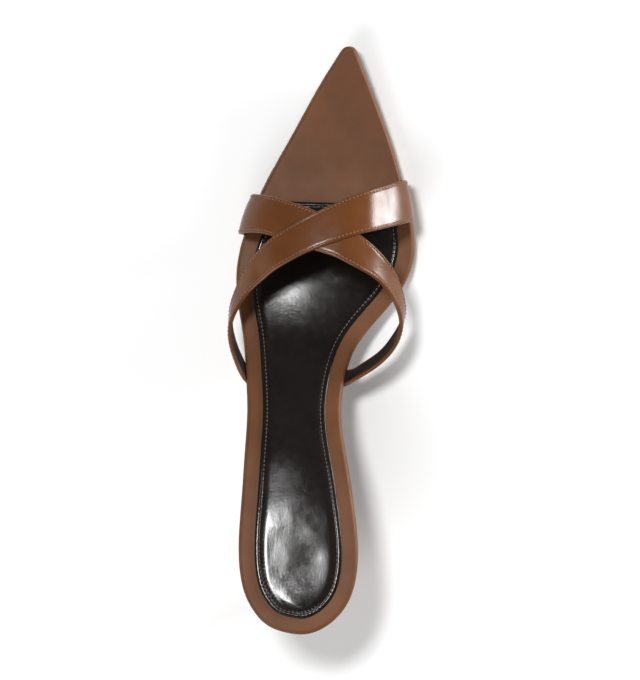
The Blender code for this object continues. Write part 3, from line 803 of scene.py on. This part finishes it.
def strap_room(strap):
    """A strap grown by ROOM on every side, to cut with."""
    shares = np.tile(np.linspace(0, 1, 5), (PATH_STEPS + 1, 1))
    shares[:, 0] = -ROOM / strap.width
    shares[:, -1] = 1 + ROOM / strap.width
    points, normals = strap.face(shares)
    outer = points + normals * ROOM
    inner = points - normals * (STRAP_WALL + ROOM)
    rings = np.concatenate([outer, inner[:, ::-1]], axis=1)[::CUT_EVERY]
    mesh = bpy.data.meshes.new("strap_room")
    mesh.from_pydata(placed(rings.reshape(-1, 3)).tolist(), [], tube_faces(*rings.shape[:2]))
    work = bmesh.new()
    work.from_mesh(mesh)
    bmesh.ops.recalc_face_normals(work, faces=work.faces)
    work.to_mesh(mesh)
    work.free()
    cutter = bpy.data.objects.new("strap_room", mesh)
    bpy.context.scene.collection.objects.link(cutter)
    return cutter


def make_outsole(material):
    """The leather outsole, from behind the heel's breast to the toe."""
    lateral, medial = sides_between((SEAT_LENGTH - HEEL_LIP) / LENGTH, 1, SOLE_POINTS)
    along = ring_of(lateral, medial, SOLE_COLUMNS)[:, 1] / LENGTH
    forefoot = smooth_step((along - WAIST_END) / (BALL_START - WAIST_END))
    inwards = SOLE_NARROWER - (SOLE_NARROWER + SOLE_WIDER) * forefoot
    lateral, medial = inset_sides(lateral, medial, SOLE_COLUMNS, inwards)
    top = -CLEAR
    bottom = -GAP - OUTSOLE_THICKNESS
    bevel = ((SOLE_BEVEL, 0), (SOLE_BEVEL * 0.3, SOLE_BEVEL * 0.3), (0, SOLE_BEVEL))
    levels = [(reach, bottom + height, False) for reach, height in bevel]
    levels += [(reach, top - height, False) for reach, height in reversed(bevel)]
    outsole = slab("outsole_leather", lateral, medial, levels, SOLE_COLUMNS, material)
    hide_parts("outsole")


# Sock


def sock_side(side, end):
    """One side of the sock, heel to its front edge, with its points close together at the heel."""
    side = side[side[:, 1] < 0.9 * LENGTH]
    first = side[0, 1]
    turn = np.linspace(0, math.acos(1 - 2 * end), SOCK_POINTS)
    y = first + (end * LENGTH - first) * (1 - np.cos(turn)) / (2 * end)
    return np.column_stack([np.interp(y, side[:, 1], side[:, 0]), y])


def sock_sides():
    """The sock's two edges, its medial corner reaching further forward."""
    sides = []
    whole = inset_sides(*sides_between(0, 1, 1201), SOLE_COLUMNS, SOCK_BORDER)
    for side, shift in zip(whole, (-SOCK_END_SLANT / 2, SOCK_END_SLANT / 2)):
        side = sock_side(side, SOCK_END / LENGTH)
        side[:, 1] += shift * smooth_step((side[:, 1] / SOCK_END - SLANT_START) / (1 - SLANT_START))
        sides.append(side)
    return sides


def run_of(points):
    """How far along a line or round a ring each of its points is."""
    return np.append(0, np.cumsum(np.linalg.norm(np.diff(points, axis=0), axis=1)))


def sock_height(distance, around):
    """Height of the sock over the footbed at a distance from its edge and a run round it."""
    bead = SOCK_BEAD * (0.45 + 0.55 * np.clip(distance / SOCK_BEAD_WIDTH, 0, 1))
    from_seam = distance - SOCK_SEAM_IN
    crown = (SOCK_THICKNESS - SOCK_BEAD) * smooth_step(from_seam / SOCK_RISE)
    groove = SOCK_SEAM_DEPTH * bell(from_seam, SEAM_GROOVE)
    pucker = PUCKER * bell(from_seam - SEAM_GROOVE, PUCKER_WIDTH)
    return bead + crown - groove + pucker * np.cos(2 * math.pi * around / SOCK_PITCH)


def sock_swell(sheet):
    """How far the padding swells and wrinkles inside the seam, for a sheet's rows of points."""
    across = np.tile(np.linspace(-1, 1, SOCK_COLUMNS + 1), len(sheet) // (SOCK_COLUMNS + 1))
    inside = 1 - across**2
    heel_part = smooth_step((HEEL_PART_FRONT - sheet[:, 1]) / HEEL_PART_FADE)
    flat = np.column_stack([sheet, np.zeros(len(sheet))])
    soft = SOFT_WAVE * uneven(flat, SOFT_WAVE_SIZE, 1)
    wrinkles = WRINKLE * uneven(flat * (1, 1.2, 1), WRINKLE_SIZE, 2)
    wrinkles = wrinkles + FINE_WRINKLE * uneven(flat, FINE_WRINKLE_SIZE, 4)
    ball = BALL_PAD * bell(sheet[:, 1] - BALL_PAD_AT, BALL_PAD_LENGTH)
    crown = SOCK_CROWN * (1 - HEEL_FLATTER * heel_part)
    return inside * (crown + ball) + np.sqrt(inside) * (soft + heel_part * wrinkles)


def make_sock(material, thread_material):
    """The padded sock with its raw edge, sunk seam, puckers and soft wrinkles."""
    lateral, medial = sock_sides()
    columns = SOCK_COLUMNS
    ring = ring_of(lateral, medial, columns)
    around = run_of(ring)
    vertices = [layer(ring_of(*inset_sides(lateral, medial, columns, 0), columns), INSOLE_THICKNESS, True)]
    for inwards in SOCK_RINGS:
        moved = ring_of(*inset_sides(lateral, medial, columns, inwards), columns)
        height = sock_height(np.full(len(ring), inwards), around)
        vertices.append(layer(moved, INSOLE_THICKNESS + height, True))
    faces = ring_faces(len(vertices), len(ring))
    start = len(vertices) * len(ring)
    for inwards, height, flip in ((0, 0.0, True), (SOCK_RINGS[-1], SOCK_THICKNESS, False)):
        sheet = sheet_between(*inset_sides(lateral, medial, columns, inwards), columns)
        swell = np.zeros(len(sheet)) if flip else sock_swell(sheet)
        vertices.append(layer(sheet, INSOLE_THICKNESS + height + swell, True))
        faces += sheet_faces(start, len(medial), columns, flip)
        start += len(sheet)
    sock = add_piece("sock_pad", np.vstack(vertices), faces, material, sharp=70)
    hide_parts("sock")
    seam = ring_of(*inset_sides(lateral, medial, columns, SOCK_SEAM_IN), columns)
    depth = SOCK_BEAD - SOCK_SEAM_DEPTH + THREAD * 0.7
    path = layer(seam, INSOLE_THICKNESS + depth, True)
    path = np.vstack([path, path[:1]])
    up = np.tile([0.0, 0.0, 1.0], (len(path), 1))
    add_stitches("sock_stitches", [(path, up)], SOCK_PITCH, thread_material)


# Stitches


def stitch_rings(path, up, pitch):
    """Vertices of the stitches along one path, each a short bowed tube."""
    run = run_of(path)
    count = int(run[-1] / pitch)
    turns = np.linspace(0, 2 * math.pi, STITCH_SIDES, endpoint=False)
    stitches = []
    for i in range(count):
        middle = (i + 0.5) * run[-1] / count
        shares = np.linspace(-STITCH_HALF, STITCH_HALF, STITCH_SECTIONS)
        at = middle + shares * pitch
        centre = np.stack([np.interp(at, run, path[:, k]) for k in range(3)], axis=1)
        normal = np.stack([np.interp(at, run, up[:, k]) for k in range(3)], axis=1)
        normal /= np.linalg.norm(normal, axis=1)[:, None]
        ahead = np.gradient(centre, axis=0)
        across = np.cross(ahead, normal)
        across /= np.linalg.norm(across, axis=1)[:, None]
        bow = np.cos(shares / STITCH_HALF * math.pi / 2)
        centre = centre + normal * ((bow - 0.55) * THREAD * 1.5)[:, None]
        radius = THREAD * (0.55 + 0.45 * bow)
        sideways = across[:, None, :] * np.cos(turns)[None, :, None]
        upwards = normal[:, None, :] * np.sin(turns)[None, :, None]
        ring = sideways + upwards
        stitches.append(centre[:, None, :] + ring * radius[:, None, None])
    return stitches


def add_stitches(name, paths, pitch, material):
    """One piece holding every stitch along these paths."""
    vertices = []
    faces = []
    for path, up in paths:
        for stitch in stitch_rings(path, up, pitch):
            start = len(vertices) * STITCH_SIDES * STITCH_SECTIONS
            vertices.append(stitch.reshape(-1, 3))
            faces += tube_faces(STITCH_SECTIONS, STITCH_SIDES, start)
    add_piece(name, np.vstack(vertices), faces, material, sharp=80)


# Straps


def strap_columns(strap, near):
    """Shares of the width for columns that crowd towards both edges."""
    front = strap.shares_at(near)
    rear = strap.shares_at([-d for d in reversed(near)])
    shares = np.linspace(0, 1, MIDDLE_COLUMNS + 1)[None, 1:-1]
    middle = front[:, -1:] * (1 - shares) + rear[:, :1] * shares
    return np.concatenate([front, middle, rear], axis=1)


def strap_shell(name, strap, material):
    """The strap's brown leather, folded round both edges."""
    shares = strap_columns(strap, EDGE_COLUMNS)
    points, normals = strap.face(shares)
    width = strap.width[:, None]
    from_edge = np.minimum(shares * width, (1 - shares) * width)
    fold = FOLD_SWELL * bell(from_edge - EDGE_COLUMNS[0], FOLD_WIDTH)
    relief = fold - SEAM_DEPTH * bell(from_edge - SEAM_IN, SEAM_WIDTH)
    soft = uneven(points.reshape(-1, 3), STRAP_WAVE_SIZE, 3).reshape(shares.shape) * STRAP_WAVE
    outer = points + normals * (relief + soft)[..., None]
    inner = points - normals * STRAP_WALL
    half = STRAP_WALL / 2
    turns = np.linspace(0, math.pi, EDGE_STEPS + 2)[1:-1]
    bends = []
    for column, beside in ((-1, -2), (0, 1)):
        outward = points[:, column] - points[:, beside]
        outward /= np.linalg.norm(outward, axis=1)[:, None]
        normal = normals[:, column]
        centre = points[:, column] - normal * half
        order = turns if column == -1 else turns[::-1]
        bend = [centre + half * (math.cos(a) * normal + math.sin(a) * outward) for a in order]
        bends.append(np.stack(bend, axis=1))
    rings = np.concatenate([outer, bends[0], inner[:, ::-1], bends[1]], axis=1)
    faces = tube_faces(*rings.shape[:2])
    return add_piece(name, rings.reshape(-1, 3), faces, material, sharp=60)


def strap_lining(name, strap, material):
    """The black lining on the strap's inner side, a little inside its folded edges."""
    near = (LINING_IN, LINING_IN, LINING_IN + LINING_FADE)
    shares = strap_columns(strap, near)
    points, normals = strap.face(shares)
    depth = np.full(shares.shape, STRAP_WALL + LINING_PROUD)
    depth[:, [0, -1]] = STRAP_WALL - LINING_SUNK
    depth[:, [1, -2]] = STRAP_WALL + LINING_LIP
    inner = points - normals * depth[..., None]
    back = points[:, [-1, 0]] - normals[:, [-1, 0]] * (STRAP_WALL - LINING_BACK)
    rings = np.concatenate([inner, back], axis=1)
    add_piece(name, rings.reshape(-1, 3), tube_faces(*rings.shape[:2]), material, sharp=60)


def strap_stitches(name, strap, material):
    """Topstitching along both edges, from where the strap comes out of the footbed's edge."""
    points, normals = strap.face(strap.shares_at([SEAM_IN, -SEAM_IN]))
    shown = np.abs(strap.rows[:, 1]) < SEAM_END_TURN
    paths = []
    for column in (0, 1):
        path = points[shown, column] + normals[shown, column] * (THREAD * 0.35 - SEAM_DEPTH)
        paths.append((path, normals[shown, column]))
    add_stitches(name, paths, STRAP_PITCH, material)


def make_straps(leather, lining, seam, upper, lower):
    """Both straps, each with its lining and its topstitching."""
    for name, strap in (("upper_strap", upper), ("lower_strap", lower)):
        shell = strap_shell(name, strap, leather)
        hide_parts("upper")
        strap_lining(name + "_lining", strap, lining)
        strap_stitches(name + "_stitches", strap, seam)


# Heel


def seat_sides():
    """The heel's top, inside the footbed's edge, from its back to the breast."""
    seat = sides_between(0, SEAT_LENGTH / LENGTH * 1.3, 161)
    sides = []
    for side in inset_sides(*seat, HEEL_COLUMNS, HEEL_INSET):
        first = side[0, 1]
        turn = np.linspace(0, math.pi / 2, SEAT_POINTS)
        y = first + (SEAT_LENGTH - first) * (1 - np.cos(turn))
        sides.append(np.column_stack([np.interp(y, side[:, 1], side[:, 0]), y]))
    return sides


def heel_sides(height, sides):
    """One section of the heel, at a share of the way from the top piece to the seat."""
    back, breast, width = HEEL_CURVE(height)
    moved = []
    for side in sides:
        x = HEEL_CENTRE + (side[:, 0] - HEEL_CENTRE) * width
        y = SEAT_LENGTH * back + side[:, 1] * (breast - back)
        moved.append(np.column_stack([x, y]))
    return moved


def heel_points(plan, height):
    """Points of a section: flat on the top piece and bent to the seat at the top."""
    seat = insole_under(plan[:, 1] / LENGTH) - CLEAR
    return np.column_stack([plan, TOP_PIECE_HEIGHT + (seat - TOP_PIECE_HEIGHT) * height])


def make_heel(material):
    """The heel's leather cover."""
    columns = HEEL_COLUMNS
    sides = seat_sides()
    lip = 1 - HEEL_LIP / (HEEL_RISE - TOP_PIECE_HEIGHT)
    heights = np.append(np.linspace(0, lip, HEEL_SECTIONS), [1.0])
    vertices = []
    for height in heights:
        ring = ring_of(*heel_sides(min(height / lip, 1), sides), columns)
        vertices.append(heel_points(ring, height))
    count = len(ring)
    faces = ring_faces(len(heights), count)
    start = len(heights) * count
    for height, flip in ((0.0, True), (1.0, False)):
        sheet = sheet_between(*heel_sides(height, sides), columns)
        vertices.append(heel_points(sheet, height))
        faces += sheet_faces(start, len(sides[0]), columns, flip)
        start += len(sheet)
    heel = add_piece("heel_cover", np.vstack(vertices), faces, material, sharp=40)
    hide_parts("heel")


def make_top_piece(material):
    """The hard rubber tip, with a small bevel at the floor."""
    ring = ring_of(*heel_sides(0.0, seat_sides()), HEEL_COLUMNS)
    third = SOLE_BEVEL / 3
    levels = ((SOLE_BEVEL, 0.0), (third, third), (0.0, SOLE_BEVEL), (0.0, TOP_PIECE_HEIGHT - CLEAR))
    vertices = []
    for inwards, height in levels:
        points = inset(ring, np.full(len(ring), inwards))
        vertices.append(np.column_stack([points, np.full(len(ring), height)]))
    faces = tube_faces(len(levels), len(ring))
    tip = add_piece("heel_tip", np.vstack(vertices), faces, material, sharp=40)
    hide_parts("top_piece")


# Studio

EYE = Vector((0.05465, -0.06116, 1.6))  # the photograph's camera, straight above its middle
PICTURE_UP = Vector((-0.08159, 0.99667, 0.0))
SHOE_MIDDLE = Vector((-0.0029, -0.0589, 0.0))
FRAME_HEIGHT = 0.306  # of what the picture shows at the floor
FLOOR_HALF = 3.0
WORLD_STRENGTH = 0.13

# The lights: each is aimed at the shoe from this far off straight up, leaning to this azimuth
# name, degrees from straight up, azimuth, distance, width, height, watts
LIGHTS = (
    ("toe_box", 19.5, -44, 1.8, 0.40, 0.28, 22),
    ("medial_strip", 83, 63, 1.4, 0.6, 0.3, 26),
    ("lateral_fill", 78, -95, 1.6, 1.0, 0.4, 1.2),
    ("heel_fill", 52, 204, 1.8, 1.4, 0.8, 19),
)


def add_camera():
    """The photograph's view of this shoe, turned to bring it to the middle."""
    data = bpy.data.cameras.new("camera")
    camera = bpy.data.objects.new("camera", data)
    bpy.context.scene.collection.objects.link(camera)
    backward = (EYE - SHOE_MIDDLE).normalized()
    right = PICTURE_UP.cross(backward).normalized()
    up = backward.cross(right)
    camera.matrix_world = Matrix.Translation(EYE) @ Matrix((right, up, backward)).transposed().to_4x4()
    data.sensor_width = 36
    data.lens = data.sensor_width * (EYE - SHOE_MIDDLE).length / FRAME_HEIGHT
    data.clip_start = 0.05
    bpy.context.scene.camera = camera


def add_softbox(name, towards, distance, size, power):
    """An area light in this direction from the shoe, aimed at it."""
    data = bpy.data.lights.new(name, "AREA")
    data.shape = "RECTANGLE"
    data.size, data.size_y = size
    data.energy = power
    light = bpy.data.objects.new(name, data)
    bpy.context.scene.collection.objects.link(light)
    direction = Vector(towards).normalized()
    light.location = SHOE_MIDDLE + direction * distance
    light.rotation_mode = "QUATERNION"
    light.rotation_quaternion = direction.to_track_quat("Z", "Y")


def from_zenith(degrees, azimuth):
    """A direction this far from straight up, leaning to an azimuth: 0 the toe, 90 the medial side."""
    lean, round_by = math.radians(degrees), math.radians(azimuth)
    return math.sin(lean) * math.sin(round_by), math.sin(lean) * math.cos(round_by), math.cos(lean)


def add_studio():
    """Soft lights, a dim white world and a pale floor."""
    world = bpy.data.worlds.new("studio")
    world.use_nodes = True
    background = world.node_tree.nodes["Background"]
    background.inputs["Color"].default_value = (1, 1, 1, 1)
    background.inputs["Strength"].default_value = WORLD_STRENGTH
    bpy.context.scene.world = world
    bpy.context.scene.view_settings.view_transform = "Standard"
    for name, lean, azimuth, distance, width, height, watts in LIGHTS:
        add_softbox(name, from_zenith(lean, azimuth), distance, (width, height), watts)
    mesh = bpy.data.meshes.new("floor")
    half = FLOOR_HALF
    corners = [(-half, -half, 0), (half, -half, 0), (half, half, 0), (-half, half, 0)]
    mesh.from_pydata(corners, [], [(0, 1, 2, 3)])
    mesh.materials.append(plain_floor("floor"))
    floor = bpy.data.objects.new("floor", mesh)
    bpy.context.scene.collection.objects.link(floor)


def main():
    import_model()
    upper = Strap(UPPER_STRAP, True)
    lower = Strap(LOWER_STRAP, False)
    brown = brown_leather("footbed_leather", (0.104, 0.038, 0.0135), (0.136, 0.051, 0.018), 0.52, 0.22)
    strap_brown = brown_leather("strap_leather", (0.098, 0.032, 0.009), (0.132, 0.046, 0.014), 0.24, 0.29)
    seam = thread("brown_thread", (0.21, 0.097, 0.044))
    sock_seam = thread("dark_thread", (0.11, 0.064, 0.042))
    make_footbed(brown, (upper, lower))
    make_outsole(sole_leather("sole_leather"))
    make_sock(black_leather("sock_leather"), sock_seam)
    make_straps(strap_brown, lining_leather("lining_leather"), seam, upper, lower)
    make_heel(brown)
    make_top_piece(hard_rubber("tip_rubber"))
    add_camera()
    add_studio()


main()
